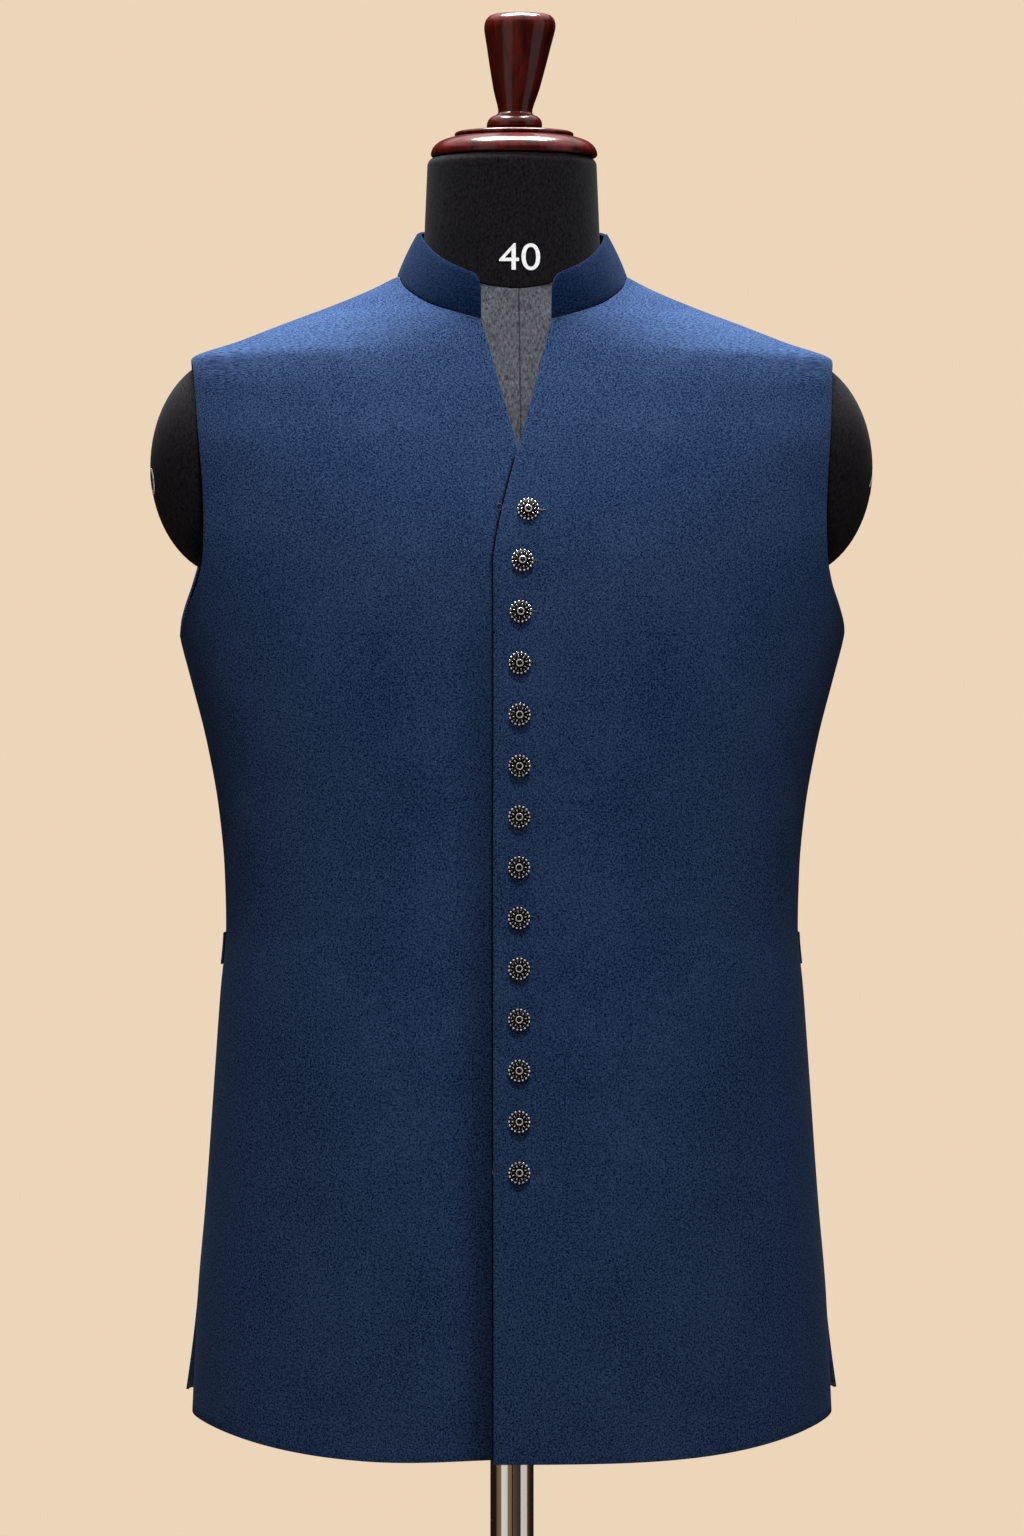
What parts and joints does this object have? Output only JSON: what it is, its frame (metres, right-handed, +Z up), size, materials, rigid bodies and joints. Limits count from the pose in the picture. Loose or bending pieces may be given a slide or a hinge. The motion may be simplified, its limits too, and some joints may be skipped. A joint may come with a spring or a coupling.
{
  "type": "sleeveless sherwani on a dress form",
  "caption": "Long sleeveless band-collar coat, buttoned in front with side vents, worn by a limbless dress form on a pole with a round base.",
  "frame": {"origin": "on the floor, under the middle of the round base", "axes": "+Z up along the pole, fronts of the coat towards -Y, wearer's left towards +X"},
  "size_m": [0.516, 0.39, 1.668],
  "materials": {
    "coat_cloth": "navy wool suiting, fine grain, matt",
    "button_metal": "antique silver, dark in the recesses",
    "form_cloth": "black cotton jersey, stretched smooth",
    "form_grey_cloth": "heather grey cotton jersey, stretched smooth",
    "dark_wood": "dark red mahogany, gloss lacquer",
    "pole_metal": "bright chrome",
    "base_metal": "black satin enamel"
  },
  "bodies": {
    "root": {"front_left": "coat_cloth", "front_right": "coat_cloth", "back": "coat_cloth", "collar": "coat_cloth", "back_belt": "coat_cloth", "button_01": "button_metal", "button_02": "button_metal", "button_03": "button_metal", "button_04": "button_metal", "button_05": "button_metal", "button_06": "button_metal", "button_07": "button_metal", "button_08": "button_metal", "button_09": "button_metal", "button_10": "button_metal", "button_11": "button_metal", "button_12": "button_metal", "button_13": "button_metal", "button_14": "button_metal", "form_torso": "form_grey_cloth", "form_neck": "form_cloth", "form_cap_left": "form_cloth", "form_cap_right": "form_cloth", "neck_cap": "dark_wood", "handle": "dark_wood", "pole": "pole_metal", "base": "base_metal"}
  },
  "joints": []
}
